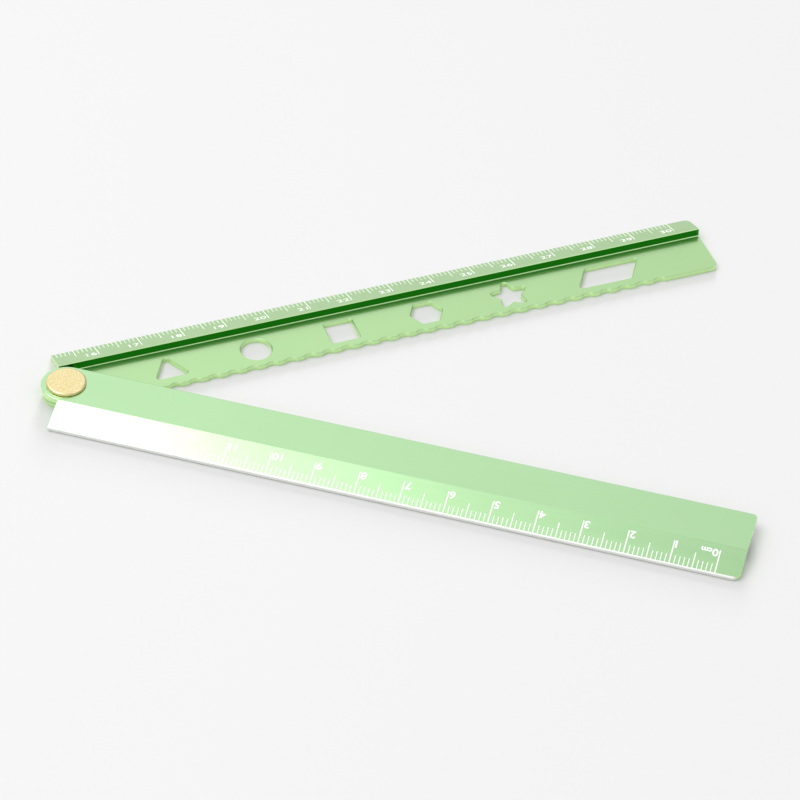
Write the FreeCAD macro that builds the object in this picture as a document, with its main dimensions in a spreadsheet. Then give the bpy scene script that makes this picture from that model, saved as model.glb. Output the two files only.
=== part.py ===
import FreeCAD, Part
import math
import os
import Sketcher
from types import SimpleNamespace

# Folding ruler: two extruded aluminium arms on one flat pivot, with a ground scale edge on each arm.
# The template arm lies under the cover arm's plate when the ruler is shut, and the two make one straight
# ruler when it is open. Millimetres, +Z up, origin on the pivot axis in the plane of the underside, +X along
# the template arm.

doc = FreeCAD.newDocument("folding_ruler")
sheet = doc.addObject("Spreadsheet::Sheet", "sizes")


# A size keeps its number together with the sheet expression that it stands for.
class Size:
    def __init__(self, number, text):
        self.number = number
        self.text = text

    def __add__(self, other):
        return combine(self, "+", other, self.number + number_of(other))

    def __sub__(self, other):
        return combine(self, "-", other, self.number - number_of(other))

    def __rsub__(self, other):
        return combine(other, "-", self, number_of(other) - self.number)

    def __mul__(self, other):
        return combine(self, "*", other, self.number * number_of(other))

    def __truediv__(self, other):
        return combine(self, "/", other, self.number / number_of(other))

    def __neg__(self):
        return Size(-self.number, f"(-{self.text})")

    def sine(self):
        return Size(math.sin(math.radians(self.number)), f"sin({self.text} * 1deg)")

    def cosine(self):
        return Size(math.cos(math.radians(self.number)), f"cos({self.text} * 1deg)")


def number_of(value):
    return value.number if isinstance(value, Size) else value


def text_of(value):
    return value.text if isinstance(value, Size) else repr(value)


def combine(left, sign, right, number):
    return Size(number, f"({text_of(left)} {sign} {text_of(right)})")


driving = {
    # Arms, both the same length so that 0 to 15 and 15 to 30 make one straight scale
    "arm_length": 155.5,  # pivot axis to the far end of either arm
    "body_height": 3.2,  # underside to the flat top
    "leaf_half_width": 5.65,  # pivot axis to the free long edge of plate or strip
    "side_gap": 0.4,  # free edge of one leaf to the other arm's rib when shut
    "scale_edge": 12.65,  # pivot axis to the thin edge of the scale
    "edge_height": 0.9,  # height of the scale's thin edge
    "rib_start": 0.05,  # pivot plane to the butt end of a rib
    "open_angle": 36,  # angle between the arms as they lie
    # Template arm
    "strip_thickness": 1.15,  # template strip
    "strip_end_radius": 5.4,  # round end of the strip about the pivot
    "strip_taper": 8,  # run over which the strip widens from its round end
    "foot_round": 0.3,  # fillet where the rib stands on the strip
    # Cover arm
    "plate_gap": 0.4,  # top of the strip to the underside of the plate
    # Rounded corners and deburred edges
    "end_round": 1.4,  # far corners of plate and strip, seen from above
    "scale_end_round": 2,  # far corners of the scales, seen from above
    "edge_round": 0.25,  # long edges of the flat tops
    "thin_edge_round": 0.5,  # thin edge of the scale
    "deburr": 0.18,  # broken edge round the strip and its holes
    # Template holes
    "first_hole": 23.9,  # pivot axis to the triangle
    "hole_pitch": 20.45,  # one hole to the next
    "last_hole": 130.2,  # pivot axis to the parallelogram
    "triangle_side": 8.1,  # triangle, its sides run on to sharp corners
    "triangle_drop": 0.6,  # middle of the triangle below the centre line
    "circle_diameter": 7.1,  # circle
    "square_side": 6.8,  # square
    "hexagon_width": 6.8,  # hexagon across its flats
    "star_reach": 5.4,  # centre of the star to a tip, before the tip is rounded
    "star_waist": 2.5,  # centre of the star to an inner corner
    "slant_length": 13.1,  # parallelogram along the arm
    "slant_width": 6.3,  # parallelogram across the arm
    "slant_lean": 4,  # parallelogram's lean
    "hole_round": 0.6,  # corners that the milling cutter leaves in the holes
    "star_round": 0.7,  # corners of the star
    # Wavy edge
    "wave_start": 13,  # pivot axis to the first trough
    "wave_pitch": 4.5,  # one crest to the next
    "wave_count": 29,  # troughs
    "wave_depth": 0.5,  # crest to trough
    "crest_flat": 1.2,  # straight top left on each crest
    "crest_round": 0.8,  # radius beside the crest's straight top
    # Pivot: a barrel and a screw from below and above, with washers between, under a pressed cap
    "barrel_radius": 2,  # outside of the barrel
    "barrel_head_radius": 3.3,  # flat head of the barrel
    "barrel_head_height": 0.7,  # flat head of the barrel
    "turning_clearance": 0.05,  # barrel to the bore that turns on it
    "seat_clearance": 0.02,  # barrel to the strip that it is fixed in
    "head_clearance": 0.1,  # heads and washers to the wall round them
    "stack_play": 0.02,  # free play along the pivot between pieces that turn
    "plate_pocket_depth": 0.8,  # round pocket in the top of the plate
    "plate_pocket_radius": 3.75,  # round pocket in the top of the plate
    "friction_washer_radius": 4.9,  # slip washer between the arms
    "slide_washer_thickness": 0.15,  # steel washer on the pocket's floor
    "spring_thickness": 0.15,  # disc spring
    "spring_rise": 0.1,  # cone of the disc spring
    "screw_radius": 1.25,  # thread of the pivot screw
    "thread_clearance": 0.02,  # screw to barrel
    "screw_head_radius": 2.8,  # head of the pivot screw
    "screw_head_height": 0.4,  # head of the pivot screw
    "screw_end_gap": 0.3,  # end of the screw to the bottom of the barrel's bore
    "slot_width": 0.7,  # screwdriver slot
    "slot_depth": 0.2,  # screwdriver slot
    "cap_radius": 4.5,  # pivot cap
    "cap_height": 0.75,  # pivot cap above the plate
    "cap_round": 0.45,  # rim of the pivot cap
    "cap_skin": 0.35,  # top of the pivot cap
    "cap_wall": 0.55,  # collar of the pivot cap in the plate's pocket
    "collar_depth": 0.45,  # collar of the pivot cap below the plate's top
}

for row, (name, number) in enumerate(driving.items(), start=1):
    sheet.set(f"A{row}", name)
    sheet.set(f"B{row}", str(number))
    sheet.setAlias(f"B{row}", name)
doc.recompute()
size = SimpleNamespace(**{name: Size(number, f"sizes.{name}") for name, number in driving.items()})

# What follows from the driving sizes
wall = size.leaf_half_width + size.side_gap
plate_bottom = size.strip_thickness + size.plate_gap
plate_thickness = size.body_height - plate_bottom
pocket_floor = size.body_height - size.plate_pocket_depth

NIL = Size(0.0, "0")
UP = FreeCAD.Vector(0, 0, 1)


def new_body(name):
    body = doc.addObject("PartDesign::Body", name)
    body.Label = name
    return body


def origin_plane(body, role):
    return next(item for item in body.Origin.OriginFeatures if item.Role == role)


def new_sketch(body, name, role, height=None):
    sketch = body.newObject("Sketcher::SketchObject", name)
    sketch.AttachmentSupport = (origin_plane(body, role), "")
    sketch.MapMode = "FlatFace"
    if height is not None:
        sketch.AttachmentOffset = FreeCAD.Placement(FreeCAD.Vector(0, 0, height.number), FreeCAD.Rotation())
        sketch.setExpression("AttachmentOffset.Base.z", height.text)
    return sketch


def point(across, up):
    return FreeCAD.Vector(number_of(across), number_of(up), 0)


def dimension(sketch, constraint, length):
    index = sketch.addConstraint(constraint)
    sketch.setExpression(f"Constraints[{index}]", length.text)


# Ties one end of a sketch edge to its place, measured from the sketch's origin.
def pin(sketch, edge, end, place):
    for kind, reach in zip(("DistanceX", "DistanceY"), place):
        if reach is NIL:
            axis = -2 if kind == "DistanceX" else -1
            sketch.addConstraint(Sketcher.Constraint("PointOnObject", edge, end, axis))
        else:
            dimension(sketch, Sketcher.Constraint(kind, -1, 1, edge, end, reach.number), reach)


# Straight edges from corner to corner, each corner tied to its place
def add_chain(sketch, corners):
    last = len(corners) - 1
    for k in range(last):
        sketch.addGeometry(Part.LineSegment(point(*corners[k]), point(*corners[k + 1])), False)
        pin(sketch, k, 1, corners[k])
    pin(sketch, last - 1, 2, corners[last])
    for k in range(1, last):
        sketch.addConstraint(Sketcher.Constraint("Coincident", k - 1, 2, k, 1))
    return last


def polygon(body, name, role, corners, height=None):
    sketch = new_sketch(body, name, role, height)
    closing = add_chain(sketch, corners)
    sketch.addGeometry(Part.LineSegment(point(*corners[-1]), point(*corners[0])), False)
    sketch.addConstraint(Sketcher.Constraint("Coincident", closing - 1, 2, closing, 1))
    sketch.addConstraint(Sketcher.Constraint("Coincident", closing, 2, 0, 1))
    return sketch


# An outline of the same kind that a half circle about the pivot closes, from the first corner to the last
def round_nosed(body, name, corners, radius, height=None):
    sketch = new_sketch(body, name, "XY_Plane", height)
    nose = add_chain(sketch, corners)
    ring = Part.Circle(point(0, 0), UP, radius.number)
    sketch.addGeometry(Part.ArcOfCircle(ring, math.pi / 2, 3 * math.pi / 2), False)
    sketch.addConstraint(Sketcher.Constraint("Coincident", nose, 1, 0, 1))
    sketch.addConstraint(Sketcher.Constraint("Coincident", nose, 2, nose - 1, 2))
    sketch.addConstraint(Sketcher.Constraint("PointOnObject", nose, 3, -2))
    return sketch


def circle(body, name, role, centre, radius, height=None):
    sketch = new_sketch(body, name, role, height)
    ring = Part.Circle(point(*centre), UP, radius.number)
    sketch.addGeometry(ring, False)
    pin(sketch, 0, 3, centre)
    dimension(sketch, Sketcher.Constraint("Radius", 0, radius.number), radius)
    return sketch


def pad(body, name, sketch, length):
    feature = body.newObject("PartDesign::Pad", name)
    feature.Profile = sketch
    feature.Length = length.number
    feature.setExpression("Length", length.text)
    doc.recompute()


# A pocket has to take material away, so the volumes before and after are compared.
def pocket(body, name, sketch, depth=None, upward=False):
    before = body.Shape.Volume
    feature = body.newObject("PartDesign::Pocket", name)
    feature.Profile = sketch
    if depth is None:
        feature.Type = "ThroughAll"
        feature.Midplane = True
    else:
        feature.Length = depth.number
        feature.setExpression("Length", depth.text)
        feature.Reversed = upward
    doc.recompute()
    if body.Shape.Volume >= before:
        raise RuntimeError(f"{body.Name}: {name} takes nothing away")
    return feature


def revolve(body, name, sketch):
    feature = body.newObject("PartDesign::Revolution", name)
    feature.Profile = sketch
    feature.ReferenceAxis = (sketch, ["V_Axis"])
    feature.Angle = 360
    doc.recompute()


def dress_edges(body, name, kind, setting, width, chosen):
    base = body.Tip
    edges = [f"Edge{k + 1}" for k, edge in enumerate(base.Shape.Edges) if chosen(edge)]
    if not edges:
        raise RuntimeError(f"{body.Name}: {name} finds no edge")
    feature = body.newObject(kind, name)
    feature.Base = (base, edges)
    setattr(feature, setting, width.number)
    feature.setExpression(setting, width.text)
    doc.recompute()
    if feature.Shape.isNull():
        raise RuntimeError(f"{body.Name}: {name} fails")


def round_edges(body, name, radius, chosen):
    dress_edges(body, name, "PartDesign::Fillet", "Radius", radius, chosen)


def break_edges(body, name, width, chosen):
    dress_edges(body, name, "PartDesign::Chamfer", "Size", width, chosen)


# These find the edges to round by where they lie.
def near(value, place):
    return abs(value - number_of(place)) < 1e-4


def ends_at(edge, axis, place):
    return all(near(getattr(vertex.Point, axis), place) for vertex in edge.Vertexes)


def along_arm(across, up):
    def chosen(edge):
        return edge.BoundBox.XLength > 1 and ends_at(edge, "y", across) and ends_at(edge, "z", up)
    return chosen


def level(edge, up):
    return near(edge.BoundBox.ZMin, up) and near(edge.BoundBox.ZMax, up)


def upright(edge):
    low, high = edge.BoundBox.ZMin, edge.BoundBox.ZMax
    flat = edge.BoundBox.XLength < 1e-4 and edge.BoundBox.YLength < 1e-4
    return flat and high - low > 1e-4


# Corners of a regular outline on the arm's centre line or a drop below it, the first at its own angle
def regular_corners(centre, reach, count, first, drop=NIL):
    corners = []
    for k in range(count):
        turn = Size(first + 360.0 * k / count, repr(first + 360.0 * k / count))
        corners.append((centre + reach * turn.cosine(), reach * turn.sine() - drop))
    return corners


# Template arm: flat strip with drawing holes, and a solid rib along one side that carries the scale
template_arm = new_body("template_arm")
under_rib = (wall + size.scale_edge) / 2
outline = [
    (NIL, size.strip_end_radius),
    (size.rib_start, size.strip_end_radius),
    (size.rib_start, under_rib),
    (size.arm_length, under_rib),
    (size.arm_length, -size.leaf_half_width),
    (size.strip_taper, -size.leaf_half_width),
    (NIL, -size.strip_end_radius),
]
strip = round_nosed(template_arm, "strip_outline", outline, size.strip_end_radius)
pad(template_arm, "strip", strip, size.strip_thickness)

# One trough of the wavy edge, two crest arcs and a trough arc that run into each other
trough_half = (size.wave_pitch - size.crest_flat) / 2
arc_sum = (trough_half * trough_half + size.wave_depth * size.wave_depth) / (size.wave_depth * 2)
trough_round = arc_sum - size.crest_round
trough_end = size.wave_start + trough_half * 2
trough_middle = size.wave_start + trough_half
crest_line = -size.leaf_half_width
outside = crest_line - size.wave_depth
lean = 2 * math.atan2(size.wave_depth.number, trough_half.number)
down = -math.pi / 2
wave = new_sketch(template_arm, "trough_sketch", "XY_Plane")
crest_centres = [(x, crest_line + size.crest_round) for x in (size.wave_start, trough_end)]
left_crest = Part.Circle(point(*crest_centres[0]), UP, size.crest_round.number)
right_crest = Part.Circle(point(*crest_centres[1]), UP, size.crest_round.number)
trough_centre = (trough_middle, crest_line + size.wave_depth - trough_round)
trough = Part.Circle(point(*trough_centre), UP, trough_round.number)
frame_corners = [
    (trough_end, crest_line),
    (trough_end, outside),
    (size.wave_start, outside),
    (size.wave_start, crest_line),
]
wave.addGeometry([
    Part.ArcOfCircle(left_crest, down, down + lean),
    Part.ArcOfCircle(trough, -down - lean, -down + lean),
    Part.ArcOfCircle(right_crest, down - lean, down),
], False)
for k in range(3):
    wave.addGeometry(Part.LineSegment(point(*frame_corners[k]), point(*frame_corners[k + 1])), False)
for k in range(4):
    edge, end = (3, 1) if k == 0 else (2 + k, 2)
    pin(wave, edge, end, frame_corners[k])
for edge, centre in ((0, crest_centres[0]), (2, crest_centres[1])):
    pin(wave, edge, 3, centre)
wave.addConstraint([
    Sketcher.Constraint("Coincident", 3, 2, 4, 1),
    Sketcher.Constraint("Coincident", 4, 2, 5, 1),
    Sketcher.Constraint("Coincident", 5, 2, 0, 1),
    Sketcher.Constraint("Coincident", 2, 2, 3, 1),
    Sketcher.Constraint("Tangent", 0, 2, 1, 2),
    Sketcher.Constraint("Tangent", 1, 1, 2, 1),
])
dimension(wave, Sketcher.Constraint("Radius", 1, trough_round.number), trough_round)
first_trough = pocket(template_arm, "trough", wave)
troughs = template_arm.newObject("PartDesign::LinearPattern", "troughs")
troughs.Originals = [first_trough]
troughs.Direction = (wave, ["H_Axis"])
troughs.setExpression("Length", (size.wave_pitch * (size.wave_count - 1)).text)
troughs.setExpression("Occurrences", size.wave_count.text)
template_arm.Tip = troughs
doc.recompute()


# The broken edge runs on by itself from this stretch, round the strip's round end and along the waves
def before_waves(edge):
    free_side = along_arm(-size.leaf_half_width, size.strip_thickness)
    return free_side(edge) and near(edge.BoundBox.XMin, size.strip_taper)


break_edges(template_arm, "free_edge", size.deburr, before_waves)

rib_section = [
    (wall, NIL),
    (size.scale_edge, NIL),
    (size.scale_edge, size.edge_height),
    (wall, size.body_height),
]
rib = polygon(template_arm, "rib_section", "YZ_Plane", rib_section, size.rib_start)
pad(template_arm, "rib", rib, size.arm_length - size.rib_start)


# Rounds one corner of an arm's far end, seen from above, by cutting away what lies outside the arc
def cut_corner(body, name, side, radius):
    above = side.number > 0
    run = size.arm_length - radius
    inner = side - radius if above else side + radius
    first = 0 if above else -math.pi / 2
    ends = [(run, side), (size.arm_length, inner)]
    if above:
        ends.reverse()
    corner = (size.arm_length, side)
    sketch = new_sketch(body, f"{name}_sketch", "XY_Plane")
    ring = Part.Circle(point(run, inner), UP, radius.number)
    sketch.addGeometry(Part.ArcOfCircle(ring, first, first + math.pi / 2), False)
    sketch.addGeometry(Part.LineSegment(point(*ends[1]), point(*corner)), False)
    sketch.addGeometry(Part.LineSegment(point(*corner), point(*ends[0])), False)
    pin(sketch, 0, 1, ends[0])
    pin(sketch, 0, 2, ends[1])
    pin(sketch, 1, 2, corner)
    dimension(sketch, Sketcher.Constraint("Radius", 0, radius.number), radius)
    for k in range(3):
        sketch.addConstraint(Sketcher.Constraint("Coincident", k, 2, (k + 1) % 3, 1))
    pocket(body, name, sketch)


# The long edges are rounded before the corners, because a rounding runs on round a smooth corner.
round_edges(template_arm, "rib_foot", size.foot_round, along_arm(wall, size.strip_thickness))
round_edges(template_arm, "ridge", size.edge_round, along_arm(wall, size.body_height))
round_edges(template_arm, "thin_edge", size.thin_edge_round, along_arm(size.scale_edge, size.edge_height))
cut_corner(template_arm, "strip_corner", -size.leaf_half_width, size.end_round)
cut_corner(template_arm, "scale_corner", size.scale_edge, size.scale_end_round)

pocket(template_arm, "triangle", polygon(template_arm, "triangle_sketch", "XY_Plane",
       regular_corners(size.first_hole, size.triangle_side / math.sqrt(3), 3, 90.0, size.triangle_drop)))

square_at = size.first_hole + size.hole_pitch * 2
half_side = size.square_side / 2
square_corners = [
    (square_at - half_side, -half_side),
    (square_at + half_side, -half_side),
    (square_at + half_side, half_side),
    (square_at - half_side, half_side),
]
pocket(template_arm, "square", polygon(template_arm, "square_sketch", "XY_Plane", square_corners))

hexagon_at = size.first_hole + size.hole_pitch * 3
pocket(template_arm, "hexagon", polygon(template_arm, "hexagon_sketch", "XY_Plane",
       regular_corners(hexagon_at, size.hexagon_width / math.sqrt(3), 6, 0.0)))

half_run = (size.slant_length - size.slant_lean) / 2
slant_corners = [
    (size.last_hole - half_run - size.slant_lean, -size.slant_width / 2),
    (size.last_hole + half_run, -size.slant_width / 2),
    (size.last_hole + half_run + size.slant_lean, size.slant_width / 2),
    (size.last_hole - half_run, size.slant_width / 2),
]
pocket(template_arm, "parallelogram", polygon(template_arm, "slant_sketch", "XY_Plane", slant_corners))


# The holes lie clear of the strip's ends, of the waves on one side and of the rib's foot on the other.
def among_holes(edge):
    box = edge.BoundBox
    clear_of_ends = box.XMin > size.strip_taper.number and box.XMax < (size.arm_length - size.end_round).number
    clear_of_waves = box.YMin > (size.wave_depth - size.leaf_half_width).number
    return clear_of_ends and clear_of_waves and box.YMax < (wall - size.foot_round).number - 1e-4


def hole_corner(edge):
    return upright(edge) and among_holes(edge)


round_edges(template_arm, "hole_corners", size.hole_round, hole_corner)

star_at = size.first_hole + size.hole_pitch * 4
points = 5
tips = regular_corners(star_at, size.star_reach, points, 90.0)
waists = regular_corners(star_at, size.star_waist, points, 90.0 + 180.0 / points)
star_corners = [corner for pair in zip(tips, waists) for corner in pair]
pocket(template_arm, "star", polygon(template_arm, "star_sketch", "XY_Plane", star_corners))


def star_corner(edge):
    return hole_corner(edge) and abs(edge.BoundBox.XMin - star_at.number) < size.star_reach.number


round_edges(template_arm, "star_corners", size.star_round, star_corner)

circle_at = size.first_hole + size.hole_pitch
pocket(template_arm, "circle", circle(template_arm, "circle_sketch", "XY_Plane",
       (circle_at, NIL), size.circle_diameter / 2))
pocket(template_arm, "pivot_bore", circle(template_arm, "pivot_bore_sketch", "XY_Plane",
       (NIL, NIL), size.barrel_radius + size.seat_clearance))
pocket(template_arm, "head_pocket", circle(template_arm, "head_pocket_sketch", "XY_Plane",
       (NIL, NIL), size.barrel_head_radius + size.head_clearance), size.barrel_head_height, upward=True)


def hole_rim(edge):
    return level(edge, size.strip_thickness) and among_holes(edge)


break_edges(template_arm, "hole_rims", size.deburr, hole_rim)

# Cover arm: thin flat plate that shuts over the strip, and a scale rib down to the table
cover_arm = new_body("cover_arm")
plate_outline = [
    (NIL, size.leaf_half_width),
    (size.arm_length, size.leaf_half_width),
    (size.arm_length, -size.leaf_half_width),
    (NIL, -size.leaf_half_width),
]
plate = round_nosed(cover_arm, "plate_outline", plate_outline, size.leaf_half_width, plate_bottom)
pad(cover_arm, "plate", plate, plate_thickness)

cover_section = [
    (-wall, NIL),
    (-wall, plate_bottom),
    (-size.leaf_half_width, plate_bottom),
    (-size.leaf_half_width, size.body_height),
    (-size.scale_edge, size.edge_height),
    (-size.scale_edge, NIL),
]
cover_rib = polygon(cover_arm, "cover_rib_section", "YZ_Plane", cover_section, size.rib_start)
pad(cover_arm, "cover_rib", cover_rib, size.arm_length - size.rib_start)
round_edges(cover_arm, "plate_edge", size.edge_round, along_arm(size.leaf_half_width, size.body_height))
round_edges(cover_arm, "cover_thin_edge", size.thin_edge_round, along_arm(-size.scale_edge, size.edge_height))
cut_corner(cover_arm, "plate_corner", size.leaf_half_width, size.end_round)
cut_corner(cover_arm, "cover_scale_corner", -size.scale_edge, size.scale_end_round)


def cover_underside(edge):
    return level(edge, 0) or (level(edge, plate_bottom) and ends_at(edge, "y", size.leaf_half_width))


break_edges(cover_arm, "cover_broken_edges", size.deburr, cover_underside)
pocket(cover_arm, "cover_bore", circle(cover_arm, "cover_bore_sketch", "XY_Plane",
       (NIL, NIL), size.barrel_radius + size.turning_clearance))
pocket(cover_arm, "cap_pocket", circle(cover_arm, "cap_pocket_sketch", "XY_Plane",
       (NIL, NIL), size.plate_pocket_radius, size.body_height), size.plate_pocket_depth)
cover_arm.Placement = FreeCAD.Placement(FreeCAD.Vector(), FreeCAD.Rotation(FreeCAD.Vector(0, 0, -1),
                                                                          size.open_angle.number))
cover_arm.setExpression("Placement.Rotation.Angle", size.open_angle.text)


# A round piece turned about the pivot axis from a closed half section of (radius, height) corners
def turned(name, section):
    body = new_body(name)
    revolve(body, "turning", polygon(body, "half_section", "XZ_Plane", section))
    return body


def washer(name, inner, outer, bottom, thickness):
    return turned(name, [
        (inner, bottom),
        (outer, bottom),
        (outer, bottom + thickness),
        (inner, bottom + thickness),
    ])


# Slip washer between the two arms
washer_bore = size.barrel_radius + size.head_clearance
slip_thickness = size.plate_gap - size.stack_play
washer("friction_washer", washer_bore, size.friction_washer_radius, size.strip_thickness, slip_thickness)

# Steel washer and disc spring in the plate's pocket, under the screw's head
washer("slide_washer", washer_bore, size.screw_head_radius, pocket_floor, size.slide_washer_thickness)
spring_foot = pocket_floor + size.slide_washer_thickness + size.stack_play
spring_top = spring_foot + size.spring_rise + size.spring_thickness
turned("disc_spring", [
    (washer_bore, spring_foot + size.spring_rise),
    (size.screw_head_radius, spring_foot),
    (size.screw_head_radius, spring_foot + size.spring_thickness),
    (washer_bore, spring_top),
])

# Barrel: flush head in the strip's underside, tube up through both arms to the screw's head
thread_bore = size.screw_radius + size.thread_clearance
bore_floor = size.barrel_head_height / 2
turned("pivot_barrel", [
    (NIL, NIL),
    (size.barrel_head_radius, NIL),
    (size.barrel_head_radius, size.barrel_head_height),
    (size.barrel_radius, size.barrel_head_height),
    (size.barrel_radius, spring_top),
    (thread_bore, spring_top),
    (thread_bore, bore_floor),
    (NIL, bore_floor),
])

# Pivot screw with a slotted flat head
head_top = spring_top + size.screw_head_height
pivot_screw = turned("pivot_screw", [
    (NIL, bore_floor + size.screw_end_gap),
    (size.screw_radius, bore_floor + size.screw_end_gap),
    (size.screw_radius, spring_top),
    (size.screw_head_radius, spring_top),
    (size.screw_head_radius, head_top),
    (NIL, head_top),
])
slot_reach = size.screw_head_radius + size.slot_width
slot_corners = [
    (-slot_reach, -size.slot_width / 2),
    (slot_reach, -size.slot_width / 2),
    (slot_reach, size.slot_width / 2),
    (-slot_reach, size.slot_width / 2),
]
pocket(pivot_screw, "slot", polygon(pivot_screw, "slot_sketch", "XY_Plane", slot_corners, head_top),
       size.slot_depth)

# Cap: shallow disc with a rounded rim, its collar pressed into the plate's pocket
cap_top = size.body_height + size.cap_height
collar_inner = size.plate_pocket_radius - size.cap_wall
collar_bottom = size.body_height - size.collar_depth
pivot_cap = turned("pivot_cap", [
    (NIL, cap_top - size.cap_skin),
    (collar_inner, cap_top - size.cap_skin),
    (collar_inner, collar_bottom),
    (size.plate_pocket_radius, collar_bottom),
    (size.plate_pocket_radius, size.body_height),
    (size.cap_radius, size.body_height),
    (size.cap_radius, cap_top),
    (NIL, cap_top),
])


def cap_rim(edge):
    return level(edge, cap_top)


round_edges(pivot_cap, "rim", size.cap_round, cap_rim)

doc.recompute()
for item in doc.Objects:
    if "Invalid" in item.State or "Error" in item.State:
        raise RuntimeError(f"{item.Name} failed: {item.State}")
bodies = [item for item in doc.Objects if item.TypeId == "PartDesign::Body"]
for body in bodies:
    if body.Shape.isNull() or not body.Shape.isValid() or len(body.Shape.Solids) != 1:
        raise RuntimeError(f"{body.Label} is not one valid solid")
os.makedirs("parts", exist_ok=True)
for body in bodies:
    body.Shape.exportStep(f"parts/{body.Label}.step")
    print(f"{body.Label}: {body.Shape.Volume:.2f} mm3")
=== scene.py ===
import bmesh
import bpy
import math
from mathutils import Matrix, Vector


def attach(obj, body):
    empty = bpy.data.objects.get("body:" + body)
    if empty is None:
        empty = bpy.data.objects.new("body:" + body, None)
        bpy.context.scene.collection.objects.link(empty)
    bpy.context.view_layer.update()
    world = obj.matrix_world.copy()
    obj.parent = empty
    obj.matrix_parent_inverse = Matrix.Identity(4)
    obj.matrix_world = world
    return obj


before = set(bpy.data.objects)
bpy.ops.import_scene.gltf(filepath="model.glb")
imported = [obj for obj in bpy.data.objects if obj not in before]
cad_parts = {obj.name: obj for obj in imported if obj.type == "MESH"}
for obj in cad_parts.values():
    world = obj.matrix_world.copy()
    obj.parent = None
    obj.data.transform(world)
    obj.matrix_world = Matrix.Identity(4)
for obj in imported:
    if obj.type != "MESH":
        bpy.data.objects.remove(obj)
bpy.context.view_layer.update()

# Template arm: one extruded aluminium profile, a thin strip with milled drawing holes and a wavy edge
# beside a solid wedge for the scale. It is finely blasted, then anodised and dyed light green. Its sizes
# here are in millimetres, those across it counted from its centre line.
MM = 0.001
SCALE_EDGE = 12.65
EDGE_HEIGHT = 0.9
TOP_HEIGHT = 3.2


def linear(code):
    channels = [int(code[k:k + 2], 16) / 255 for k in (1, 3, 5)]
    return tuple(c / 12.92 if c < 0.04045 else ((c + 0.055) / 1.055) ** 2.4 for c in channels) + (1.0,)


def add(tree, kind, sockets, **settings):
    node = tree.nodes.new(kind)
    for name, value in settings.items():
        setattr(node, name, value)
    for name, value in sockets.items():
        if isinstance(value, bpy.types.NodeSocket):
            tree.links.new(value, node.inputs[name])
        else:
            node.inputs[name].default_value = value
    return node


def new_material(name):
    material = bpy.data.materials.new(name)
    material.use_nodes = True
    material.node_tree.nodes.clear()
    return material, material.node_tree


def dress(node_name, material):
    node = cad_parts[node_name]
    node.data.materials.clear()
    node.data.materials.append(material)


# Dyed anodised aluminium: the eye sees a coloured metal under a clear, harder skin of oxide. Die lines
# run along the arm, 0.3 mm apart, and the blasting leaves a grain of about 0.15 mm and a satin of its own on
# each arm. The wall under the ridge was out of reach of the blasting: it is smooth, and it is painted a deep
# green as painted shade, for the dark it holds and mirrors. The upright walls of the holes and the outline
# are painted a paler lime, a painted reflection of the bright light they face. The scale's thin edge was
# ground to size last, and shows bare bright metal.
DIE_LINES_PER_MM = 3.3
DIE_LINE_CHANGES_PER_MM = 0.02
CLOUDS_PER_MM = 0.05
GRAINS_PER_MM = 6.5
GRAIN_DEPTH = 0.02
WALL_PLACE = 5.6
WALL_FADE = 0.1
GROUND_WIDTH = 0.3
GROUND_FADE = 0.06
# The lime is painted light on the upright walls, and the deep wall green is painted shade under the ridge
LIME_PAINTED_LIGHT = "#D2FCAA"
WALL_PAINTED_SHADE = "#217F19"
BARE_METAL = "#EEF2EA"


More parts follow.
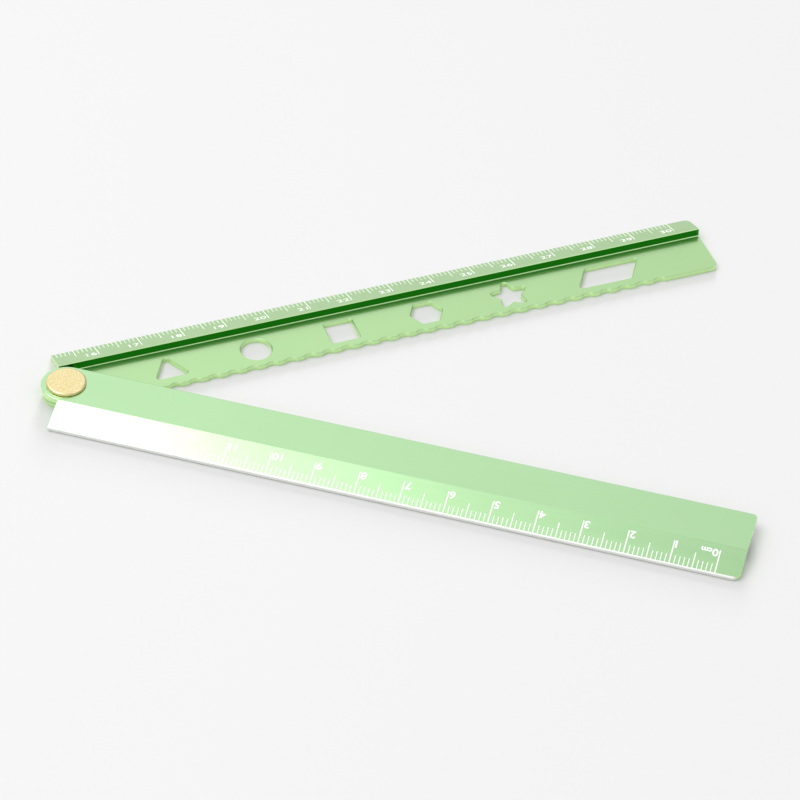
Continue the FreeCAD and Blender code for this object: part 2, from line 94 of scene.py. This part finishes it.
def anodised_aluminium(name, turn, scale_side, pale, deep, blasted):
    material, tree = new_material(name)
    place = add(tree, "ShaderNodeTexCoord", {})
    along = add(tree, "ShaderNodeMapping", {
        "Vector": place.outputs["Object"], "Rotation": (0, 0, -turn), "Scale": (1 / MM, 1 / MM, 1 / MM)})
    stretched = add(tree, "ShaderNodeMapping", {
        "Vector": along.outputs["Vector"],
        "Scale": (DIE_LINE_CHANGES_PER_MM, DIE_LINES_PER_MM, DIE_LINES_PER_MM)})
    die_lines = add(tree, "ShaderNodeTexNoise", {
        "Vector": stretched.outputs["Vector"], "Scale": 1.0, "Detail": 3.0, "Roughness": 0.6})
    clouds = add(tree, "ShaderNodeTexNoise", {
        "Vector": along.outputs["Vector"], "Scale": CLOUDS_PER_MM, "Detail": 3.0})
    grain = add(tree, "ShaderNodeTexNoise", {
        "Vector": along.outputs["Vector"], "Scale": GRAINS_PER_MM, "Detail": 2.0})
    tone = add(tree, "ShaderNodeMath", {0: die_lines.outputs["Fac"], 1: clouds.outputs["Fac"]},
               operation="ADD")
    share = add(tree, "ShaderNodeMapRange", {
        "Value": tone.outputs["Value"], "From Min": 0.6, "From Max": 1.4})
    dye = add(tree, "ShaderNodeMix", {
        0: share.outputs["Result"], 6: linear(deep), 7: linear(pale)}, data_type="RGBA")
    spot = add(tree, "ShaderNodeSeparateXYZ", {"Vector": along.outputs["Vector"]})
    facing = add(tree, "ShaderNodeSeparateXYZ", {"Vector": place.outputs["Normal"]})
    on_side = add(tree, "ShaderNodeMapRange", {
        "Value": facing.outputs["Y"], "From Min": -0.7, "From Max": -0.95}, interpolation_type="SMOOTHSTEP")
    by_ridge = add(tree, "ShaderNodeMapRange", {
        "Value": spot.outputs["Y"], "From Min": WALL_PLACE - WALL_FADE, "From Max": WALL_PLACE})
    wall = add(tree, "ShaderNodeMath", {0: on_side.outputs["Result"], 1: by_ridge.outputs["Result"]},
               operation="MULTIPLY")
    slant = add(tree, "ShaderNodeMath", {0: facing.outputs["Z"]}, operation="ABSOLUTE")
    upright = add(tree, "ShaderNodeMapRange", {
        "Value": slant.outputs["Value"], "From Min": 0.75, "From Max": 0.4})
    # Painted light: upright faces take a paler lime, a painted reflection of the bright light they face
    dye_and_painted_light = add(tree, "ShaderNodeMix", {
        0: upright.outputs["Result"], 6: dye.outputs[2], 7: linear(LIME_PAINTED_LIGHT)}, data_type="RGBA")
    outward = add(tree, "ShaderNodeMath", {0: spot.outputs["Y"], 1: scale_side}, operation="MULTIPLY")
    ground = add(tree, "ShaderNodeMapRange", {
        "Value": outward.outputs["Value"], "From Min": SCALE_EDGE - GROUND_WIDTH - GROUND_FADE,
        "From Max": SCALE_EDGE - GROUND_WIDTH})
    # Painted shade: the wall under the ridge takes a deep green for the dark it holds and mirrors
    dye_with_painted_light_and_shade = add(tree, "ShaderNodeMix", {
        0: wall.outputs["Value"], 6: dye_and_painted_light.outputs[2], 7: linear(WALL_PAINTED_SHADE)}, data_type="RGBA")
    colour = add(tree, "ShaderNodeMix", {
        0: ground.outputs["Result"], 6: dye_with_painted_light_and_shade.outputs[2], 7: linear(BARE_METAL)}, data_type="RGBA")
    satin = add(tree, "ShaderNodeMapRange", {
        "Value": die_lines.outputs["Fac"], "From Min": 0.3, "From Max": 0.7, "To Min": blasted,
        "To Max": blasted + 0.05})
    cut = add(tree, "ShaderNodeMapRange", {
        "Value": upright.outputs["Result"], "To Min": satin.outputs["Result"], "To Max": 0.45})
    roughness = add(tree, "ShaderNodeMapRange", {
        "Value": wall.outputs["Value"], "To Min": cut.outputs["Result"], "To Max": 0.16})
    skin = add(tree, "ShaderNodeMath", {0: 1.0, 1: wall.outputs["Value"]}, operation="SUBTRACT")
    relief = add(tree, "ShaderNodeBump", {
        "Height": grain.outputs["Fac"], "Strength": 0.08, "Distance": GRAIN_DEPTH * MM})
    surface = add(tree, "ShaderNodeBsdfPrincipled", {
        "Base Color": colour.outputs[2], "Metallic": 1.0, "Roughness": roughness.outputs["Result"],
        "Normal": relief.outputs["Normal"], "Coat Weight": skin.outputs["Value"], "Coat IOR": 2.1,
        "Coat Roughness": 0.15})
    add(tree, "ShaderNodeOutputMaterial", {"Surface": surface.outputs["BSDF"]})
    return material


dress("template_arm", anodised_aluminium("blasted_green_anodised_aluminium", turn=0.0, scale_side=1,
                                         pale="#A8D78D", deep="#A3D287", blasted=0.3))

# Scale print: white two-part ink, screen-printed on the wedge and baked. Millimetre lines start at the
# thin edge, and a figure stands beside the inner end of every centimetre line. The two scales meet at the
# pivot, and the ink stands as far out of the metal as it reaches in.
INK = 0.02
LINE_START = 12.58
LINE_BENDS = (0.28, 0.19, 0.1)
EDGE_ROUND = 0.5
CURVE_STEPS = 4
SAME_POINT = 1e-8
PIVOT_READS = 150
CM_GAP = 0.1
CM_LETTERS = (0.85, 1.15, 0.035)


# A point on the wedge's sloping face or on its rounded thin edge, across mm from the arm's centre line,
# and the direction straight out of the metal there. The slope begins at the crease, at the top height.
def on_wedge(crease, across):
    slope = math.atan2(TOP_HEIGHT - EDGE_HEIGHT, SCALE_EDGE - crease)
    tangent = EDGE_ROUND * math.tan((math.pi / 2 - slope) / 2)
    if across <= SCALE_EDGE - tangent * math.cos(slope):
        height = TOP_HEIGHT - (across - crease) * math.tan(slope)
        return Vector((0, across, height)), Vector((0, math.sin(slope), math.cos(slope)))
    centre = Vector((0, SCALE_EDGE - EDGE_ROUND, EDGE_HEIGHT - tangent))
    lean = math.asin(min(1.0, (across - centre.y) / EDGE_ROUND))
    out = Vector((0, math.sin(lean), math.cos(lean)))
    return centre + out * EDGE_ROUND, out


# A line of print. Close to its start it has bends, which lead it over the rounded thin edge.
def add_line(mesh, crease, along, width, length):
    rings = []
    for inward in (length, *LINE_BENDS, 0):
        spot, out = on_wedge(crease, LINE_START - inward)
        ring = []
        for side, lift in ((-0.5, -INK), (0.5, -INK), (0.5, INK), (-0.5, INK)):
            ring.append(mesh.verts.new((spot + out * lift + Vector((along + side * width, 0, 0))) * MM))
        rings.append(ring)
    for near, far in zip(rings, rings[1:]):
        for k in range(4):
            mesh.faces.new((near[k], near[(k + 1) % 4], far[(k + 1) % 4], far[k]))
    mesh.faces.new(rings[0][::-1])
    mesh.faces.new(rings[-1])


# Letters with their foot across mm from the arm's centre line. They end at the place along the arm, or
# start there. Stretch widens them, and bold fattens their strokes, or thins them where it is negative.
def add_letters(mesh, crease, text, along, across, height, stretch, bold, starting=False):
    letters = bpy.data.curves.new("letters", "FONT")
    letters.body = text
    letters.extrude = INK
    letters.offset = bold
    letters.size = 1.0
    letters.resolution_u = CURVE_STEPS
    holder = bpy.data.objects.new("letters", letters)
    flat = bpy.data.meshes.new_from_object(holder)
    grow = height / max(v.co.y for v in flat.vertices)
    widen = grow * stretch
    starts = min(v.co.x for v in flat.vertices) * widen
    ends = max(v.co.x for v in flat.vertices) * widen
    shift = along - (starts if starting else ends)
    spot, out = on_wedge(crease, across)
    up_wedge = Vector((0, out.z, -out.y))
    for v in flat.vertices:
        at = spot + up_wedge * (v.co.y * grow) + out * v.co.z
        v.co = (at + Vector((v.co.x * widen + shift, 0, 0))) * MM
    mesh.from_mesh(flat)
    bpy.data.objects.remove(holder)
    bpy.data.curves.remove(letters)
    bpy.data.meshes.remove(flat)
    return shift + ends


def print_piece(name, mesh, turn, body):
    bmesh.ops.remove_doubles(mesh, verts=mesh.verts, dist=SAME_POINT)
    bmesh.ops.recalc_face_normals(mesh, faces=mesh.faces)
    bmesh.ops.transform(mesh, matrix=Matrix.Rotation(turn, 4, "Z"), verts=mesh.verts)
    data = bpy.data.meshes.new(name)
    mesh.to_mesh(data)
    mesh.free()
    piece = bpy.data.objects.new(name, data)
    bpy.context.scene.collection.objects.link(piece)
    piece.data.materials.append(ink)
    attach(piece, body)


# White screen ink: thin and matt, a little uneven where the mesh of the screen let it through. The screen
# has 9 threads to the millimetre.
THREADS_PER_MM = 9
ink, tree = new_material("screen_printed_white_ink")
place = add(tree, "ShaderNodeTexCoord", {})
weave = add(tree, "ShaderNodeTexNoise", {
    "Vector": place.outputs["Object"], "Scale": THREADS_PER_MM / MM, "Detail": 2.0})
film = add(tree, "ShaderNodeMix", {
    0: weave.outputs["Fac"], 6: linear("#F2F6F0"), 7: linear("#FBFDFA")}, data_type="RGBA")
surface = add(tree, "ShaderNodeBsdfPrincipled", {"Base Color": film.outputs[2], "Roughness": 0.45})
add(tree, "ShaderNodeOutputMaterial", {"Surface": surface.outputs["BSDF"]})


# Widths and lengths are those of the centimetre, half-centimetre and millimetre lines. A figure has its
# height, its stretch along the arm and how far its strokes are fattened.
def print_scale(body, millimetres, crease, turn, widths, lengths, figure, figure_gap):
    lines = bmesh.new()
    figures = bmesh.new()
    foot = LINE_START - lengths[0]
    for millimetre in millimetres:
        along = millimetre - PIVOT_READS
        rank = 2 if millimetre % 5 else 1 if millimetre % 10 else 0
        add_line(lines, crease, along, widths[rank], lengths[rank])
        if millimetre == 0:
            zero_end = add_letters(figures, crease, "0", along + figure_gap, foot, *figure, starting=True)
            add_letters(figures, crease, "cm", zero_end + CM_GAP, foot, *CM_LETTERS, starting=True)
        elif rank == 0:
            add_letters(figures, crease, str(millimetre // 10), along - figure_gap, foot, *figure)
    print_piece(body + "_scale_lines", lines, turn, body)
    print_piece(body + "_scale_figures", figures, turn, body)


print_scale("template", range(PIVOT_READS + 1, 2 * PIVOT_READS + 1), crease=6.05, turn=0.0,
            widths=(0.13, 0.11, 0.09), lengths=(4.8, 3.4, 2.1), figure=(1.5, 1.38, -0.012), figure_gap=0.5)

# Pivot barrel: turned stainless steel, its flat head flush in the strip's underside, its tube up through
# both arms. The turning tool leaves fine rings on the head, 0.2 mm apart at this scale.
RING_SCALE = 1600.0
RING_DEPTH = 0.01
steel, tree = new_material("turned_stainless_steel")
place = add(tree, "ShaderNodeTexCoord", {})
rings = add(tree, "ShaderNodeTexWave", {
    "Vector": place.outputs["Object"], "Scale": RING_SCALE, "Distortion": 0.4, "Detail": 1.0},
    wave_type="RINGS", rings_direction="Z")
polish = add(tree, "ShaderNodeMapRange", {"Value": rings.outputs["Fac"], "To Min": 0.22, "To Max": 0.36})
grooves = add(tree, "ShaderNodeBump", {
    "Height": rings.outputs["Fac"], "Strength": 0.3, "Distance": RING_DEPTH * MM})
tint = add(tree, "ShaderNodeMix", {
    0: rings.outputs["Fac"], 6: linear("#B9BABB"), 7: linear("#D2D3D4")}, data_type="RGBA")
surface = add(tree, "ShaderNodeBsdfPrincipled", {
    "Base Color": tint.outputs[2], "Metallic": 1.0, "Roughness": polish.outputs["Result"],
    "Normal": grooves.outputs["Normal"]})
add(tree, "ShaderNodeOutputMaterial", {"Surface": surface.outputs["BSDF"]})
dress("pivot_barrel", steel)

# Slip washer: punched from black nylon sheet and laid between the two arms. It keeps them apart and lets
# them slide. The sheet is dull, with a fine mottle of about 0.2 mm.
MOTTLES_PER_MM = 5
MOTTLE_DEPTH = 0.02
nylon, tree = new_material("punched_black_nylon")
place = add(tree, "ShaderNodeTexCoord", {})
mottle = add(tree, "ShaderNodeTexNoise", {
    "Vector": place.outputs["Object"], "Scale": MOTTLES_PER_MM / MM, "Detail": 3.0})
shade = add(tree, "ShaderNodeMix", {
    0: mottle.outputs["Fac"], 6: linear("#1B1C1D"), 7: linear("#2C2D2E")}, data_type="RGBA")
matt = add(tree, "ShaderNodeBump", {
    "Height": mottle.outputs["Fac"], "Strength": 0.3, "Distance": MOTTLE_DEPTH * MM})
surface = add(tree, "ShaderNodeBsdfPrincipled", {
    "Base Color": shade.outputs[2], "Roughness": 0.55, "IOR": 1.53, "Normal": matt.outputs["Normal"]})
add(tree, "ShaderNodeOutputMaterial", {"Surface": surface.outputs["BSDF"]})
dress("friction_washer", nylon)

# Cover arm: the second extruded profile, a flat plate that shuts over the strip, with its own wedge down
# to the table. It is blasted finer than the first arm, so it mirrors more sharply, and its dye came out a
# little cooler. Its die lines and its scale are turned with it.
OPEN_ANGLE = math.radians(36)
dress("cover_arm", anodised_aluminium("blasted_green_anodised_aluminium_cover", turn=-OPEN_ANGLE,
                                      scale_side=-1, pale="#A9DA9C", deep="#A4D695", blasted=0.22))
print_scale("cover", range(PIVOT_READS), crease=5.65, turn=math.pi - OPEN_ANGLE,
            widths=(0.27, 0.22, 0.19), lengths=(5.5, 3.75, 2.2), figure=(1.75, 1.12, 0.025), figure_gap=0.3)

# Slide washer, disc spring and pivot screw: the steel stack in the plate's pocket that holds the arms
# together and gives the joint its drag
for name in ("slide_washer", "disc_spring", "pivot_screw"):
    dress(name, steel)

# Pivot cap: pressed brass sheet, plated pale gold and lightly tumbled, its collar pressed into the plate's
# pocket. The tumbling leaves a fine crumpled mottle on the top, and the rim stays bright. A painted shadow
# darkens the rim's foot, where the cap meets the plate.
FLAKES_PER_MM = 2.6
FLAKE_DEPTH = 0.018
TOP_RADIUS = 4.1
TOP_FADE = 0.2
FOOT_SHADOW_TOP = 3.36
FOOT_SHADOW_FADE = 0.08
gold, tree = new_material("tumbled_pale_gold_plated_brass")
place = add(tree, "ShaderNodeTexCoord", {})
flakes = add(tree, "ShaderNodeTexNoise", {
    "Vector": place.outputs["Object"], "Scale": FLAKES_PER_MM / MM, "Detail": 3.0, "Roughness": 0.7})
flat_place = add(tree, "ShaderNodeVectorMath", {0: place.outputs["Object"], 1: (1 / MM, 1 / MM, 0)},
                 operation="MULTIPLY")
off_axis = add(tree, "ShaderNodeVectorMath", {0: flat_place.outputs["Vector"]}, operation="LENGTH")
tumbled = add(tree, "ShaderNodeMapRange", {
    "Value": off_axis.outputs["Value"], "From Min": TOP_RADIUS, "From Max": TOP_RADIUS - TOP_FADE})
rubbed = add(tree, "ShaderNodeMapRange", {
    "Value": flakes.outputs["Fac"], "From Min": 0.3, "From Max": 0.6})
plating = add(tree, "ShaderNodeMix", {
    0: rubbed.outputs["Result"], 6: linear("#DCC88C"), 7: linear("#F0E2B0")}, data_type="RGBA")
spot = add(tree, "ShaderNodeSeparateXYZ", {"Vector": place.outputs["Object"]})
# Painted shadow: the rim's foot is darkened where the cap meets the plate
painted_foot_shadow = add(tree, "ShaderNodeMapRange", {
    "Value": spot.outputs["Z"], "From Min": FOOT_SHADOW_TOP * MM,
    "From Max": (FOOT_SHADOW_TOP - FOOT_SHADOW_FADE) * MM})
gilding_and_painted_shadow = add(tree, "ShaderNodeMix", {
    0: painted_foot_shadow.outputs["Result"], 6: plating.outputs[2], 7: linear("#75642C")}, data_type="RGBA")
crumple = add(tree, "ShaderNodeBump", {
    "Height": flakes.outputs["Fac"], "Strength": tumbled.outputs["Result"], "Distance": FLAKE_DEPTH * MM})
surface = add(tree, "ShaderNodeBsdfPrincipled", {
    "Base Color": gilding_and_painted_shadow.outputs[2], "Metallic": 1.0, "Roughness": 0.25,
    "Normal": crumple.outputs["Normal"]})
add(tree, "ShaderNodeOutputMaterial", {"Surface": surface.outputs["BSDF"]})
dress("pivot_cap", gold)

# Table: a wide sheet of matt white card, laid a hair below the ruler's underside. Its pulp shows as a faint
# mottle, about 1 mm across.
PULP_PER_MM = 0.9
TABLE_REACH = 3
TABLE_DROP = 0.02
card, tree = new_material("matt_white_card")
place = add(tree, "ShaderNodeTexCoord", {})
pulp = add(tree, "ShaderNodeTexNoise", {
    "Vector": place.outputs["Object"], "Scale": PULP_PER_MM / MM, "Detail": 2.0})
paper = add(tree, "ShaderNodeMix", {
    0: pulp.outputs["Fac"], 6: linear("#D1D1D1"), 7: linear("#D3D3D3")}, data_type="RGBA")
surface = add(tree, "ShaderNodeBsdfDiffuse", {"Color": paper.outputs[2]})
add(tree, "ShaderNodeOutputMaterial", {"Surface": surface.outputs["BSDF"]})
corners = [(x * TABLE_REACH, y * TABLE_REACH, 0) for x, y in ((-1, -1), (1, -1), (1, 1), (-1, 1))]
sheet = bpy.data.meshes.new("table")
sheet.from_pydata(corners, [], [(0, 1, 2, 3)])
table = bpy.data.objects.new("table", sheet)
table.location = (0, 0, -TABLE_DROP * MM)
bpy.context.scene.collection.objects.link(table)
table.data.materials.append(card)

# Studio: a pale tent of light with brighter panels behind, overhead and in front, and a darker spot near its
# top. One large lamp hangs high beyond the pivot, and the near wedge mirrors it. A low one far behind throws
# the ruler's soft shadow forward.
world = bpy.data.worlds.new("studio")
bpy.context.scene.world = world
world.use_nodes = True
tree = world.node_tree
tree.nodes.clear()
place = add(tree, "ShaderNodeTexCoord", {})


# A patch adds its change to the tent within the inner angle, and fades out at the outer one, in degrees
def tent_patch(strength, towards, inner, outer, change):
    facing = add(tree, "ShaderNodeVectorMath", {
        0: place.outputs["Generated"], 1: Vector(towards).normalized()}, operation="DOT_PRODUCT")
    patch = add(tree, "ShaderNodeMapRange", {
        "Value": facing.outputs["Value"], "From Min": math.cos(math.radians(outer)),
        "From Max": math.cos(math.radians(inner)), "To Max": change}, interpolation_type="SMOOTHSTEP")
    total = add(tree, "ShaderNodeMath", {0: strength, 1: patch.outputs["Result"]}, operation="ADD")
    return total.outputs["Value"]


TENT_LEVEL = 0.64
TENT_PATCHES = (
    ((-0.10, 0.78, 0.62), 8, 42, 0.56),
    ((0.3, 0.95, 0.07), 5, 25, 0.1),
    ((0.28, -0.70, 0.65), 15, 42, 0.18),
    ((-0.54, -0.43, 0.72), 15, 36, 0.6),
    ((-0.35, 0.30, 0.89), 8, 27, 0.75),
    ((0.45, 0.05, 0.89), 10, 22, 1.2),
    ((0.17, 0.12, 0.98), 4, 12, -0.12),
)
light = TENT_LEVEL
for patch in TENT_PATCHES:
    light = tent_patch(light, *patch)
seen = add(tree, "ShaderNodeLightPath", {})
tent = add(tree, "ShaderNodeBackground", {"Color": (1, 1, 1, 1), "Strength": light})
plain = add(tree, "ShaderNodeBackground", {"Color": linear("#F5F5F5"), "Strength": 1.0})
both = add(tree, "ShaderNodeMixShader", {
    0: seen.outputs["Is Camera Ray"], 1: tent.outputs["Background"], 2: plain.outputs["Background"]})
add(tree, "ShaderNodeOutputWorld", {"Surface": both.outputs["Shader"]})


def hang_lamp(light_source, direction):
    lamp = bpy.data.objects.new(light_source.name, light_source)
    lamp.rotation_euler = direction.to_track_quat("Z", "Y").to_euler()
    bpy.context.scene.collection.objects.link(lamp)
    return lamp


SOFTBOX_DIRECTION = Vector((-0.43, 0.25, 0.87)).normalized()
SOFTBOX_DISTANCE = 0.9
SOFTBOX_AIM = Vector((0.04, -0.03, 0))
overhead = bpy.data.lights.new("overhead_softbox", "AREA")
overhead.shape = "DISK"
overhead.size = 0.6
overhead.energy = 2.1
softbox = hang_lamp(overhead, SOFTBOX_DIRECTION)
softbox.location = SOFTBOX_AIM + SOFTBOX_DIRECTION * SOFTBOX_DISTANCE

# The low lamp is flagged off the metal: it lights the card, the ink and the nylon, and draws no glints
low_light = bpy.data.lights.new("low_rear_lamp", "SUN")
low_light.energy = 2.5
low_light.angle = math.radians(17)
low_lamp = hang_lamp(low_light, Vector((0.42, 0.87, 0.27)))
low_lamp.visible_glossy = False

# Camera: a long lens from the front left, 42 degrees up. It was set from the ruler's own edges and lines, and
# its focal length is in pixels of the square picture.
AZIMUTH = math.radians(-21.73)
ELEVATION = math.radians(42.07)
ROLL = math.radians(2.4)
TARGET = Vector((69.74, -24.94, 0.0)) * MM
DISTANCE = 846.877 * MM
PICTURE_WIDTH = 800
FOCAL_LENGTH = 3804.6
SENSOR_WIDTH = 36.0
back = Vector((math.sin(AZIMUTH) * math.cos(ELEVATION), -math.cos(AZIMUTH) * math.cos(ELEVATION),
               math.sin(ELEVATION)))
level = (-back).cross(Vector((0, 0, 1))).normalized()
upright = level.cross(-back)
right = math.cos(ROLL) * level + math.sin(ROLL) * upright
up = math.cos(ROLL) * upright - math.sin(ROLL) * level
camera_data = bpy.data.cameras.new("camera")
camera_data.sensor_width = SENSOR_WIDTH
camera_data.lens = FOCAL_LENGTH / PICTURE_WIDTH * SENSOR_WIDTH
camera_data.clip_start = 0.01
camera = bpy.data.objects.new("camera", camera_data)
bpy.context.scene.collection.objects.link(camera)
pose = Matrix((right, up, back)).transposed().to_4x4()
pose.translation = TARGET + back * DISTANCE
camera.matrix_world = pose
bpy.context.scene.camera = camera
bpy.context.scene.view_settings.view_transform = "Standard"
